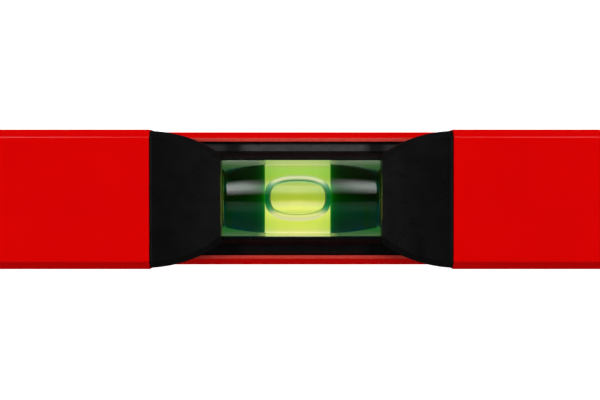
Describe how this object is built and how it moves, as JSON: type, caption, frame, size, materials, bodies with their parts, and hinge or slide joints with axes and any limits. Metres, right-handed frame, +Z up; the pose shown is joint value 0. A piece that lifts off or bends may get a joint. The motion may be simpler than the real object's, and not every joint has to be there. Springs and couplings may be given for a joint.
{
  "type": "spirit level",
  "caption": "Red box-section spirit level with a top-read vial in a notch of its upper edge and an upright plumb vial near each end.",
  "frame": {"origin": "middle of the bottom measuring face, on which the level stands", "axes": "+X along the level, +Y across it towards the back, +Z up towards the notched edge"},
  "size_m": [0.4, 0.0264, 0.06],
  "materials": {
    "red_coat": "red powder coat on aluminium, satin, with a very fine orange peel",
    "black_moulding": "black moulded plastic with a fine spark-eroded texture",
    "clear_acrylic": "clear polished acrylic",
    "green_fluid": "fluorescent yellow-green fluid",
    "bubble_air": "air bubble",
    "bright_backing": "bright pale yellow plate",
    "dark_backing": "matt black plate",
    "screw_steel": "zinc plated",
    "pad_rubber": "matt black rubber",
    "ring_ink": "black printed ring"
  },
  "bodies": {
    "level": {"box_profile": "red_coat", "vial_saddle": "black_moulding", "vial_retainer": "black_moulding", "centre_vial": "clear_acrylic", "centre_vial_plug": "clear_acrylic", "centre_fluid": "green_fluid", "centre_reflector": "bright_backing", "centre_vial_mask_left": "dark_backing", "centre_vial_mask_right": "dark_backing", "retainer_screws": "screw_steel", "end_cap_left": "black_moulding", "shock_pad_left": "pad_rubber", "plumb_bezel_front_left": "black_moulding", "plumb_bezel_back_left": "black_moulding", "plumb_screws_left": "screw_steel", "plumb_vial_left": "clear_acrylic", "plumb_vial_plug_left": "clear_acrylic", "plumb_fluid_left": "green_fluid", "plumb_rings_left": "ring_ink", "end_cap_right": "black_moulding", "shock_pad_right": "pad_rubber", "plumb_bezel_front_right": "black_moulding", "plumb_bezel_back_right": "black_moulding", "plumb_screws_right": "screw_steel", "plumb_vial_right": "clear_acrylic", "plumb_vial_plug_right": "clear_acrylic", "plumb_fluid_right": "green_fluid", "plumb_rings_right": "ring_ink"},
    "centre_bubble": {"centre_bubble": "bubble_air"},
    "plumb_bubble_left": {"plumb_bubble_left": "bubble_air"},
    "plumb_bubble_right": {"plumb_bubble_right": "bubble_air"}
  },
  "joints": [
    {"name": "centre_bubble_slide", "type": "slide", "parent": "level", "child": "centre_bubble", "axis": [1, 0, 0], "range_m": [-0.006, 0.006], "stiffness_N_per_m": 1, "deforming": ["centre_fluid"]},
    {"name": "plumb_bubble_left_slide", "type": "slide", "parent": "level", "child": "plumb_bubble_left", "axis": [0, 0, 1], "range_m": [-0.014, 0], "stiffness_N_per_m": 1, "springref_m": 0.01, "deforming": ["plumb_fluid_left"]},
    {"name": "plumb_bubble_right_slide", "type": "slide", "parent": "level", "child": "plumb_bubble_right", "axis": [0, 0, 1], "range_m": [-0.014, 0], "stiffness_N_per_m": 1, "springref_m": 0.01, "deforming": ["plumb_fluid_right"]}
  ]
}
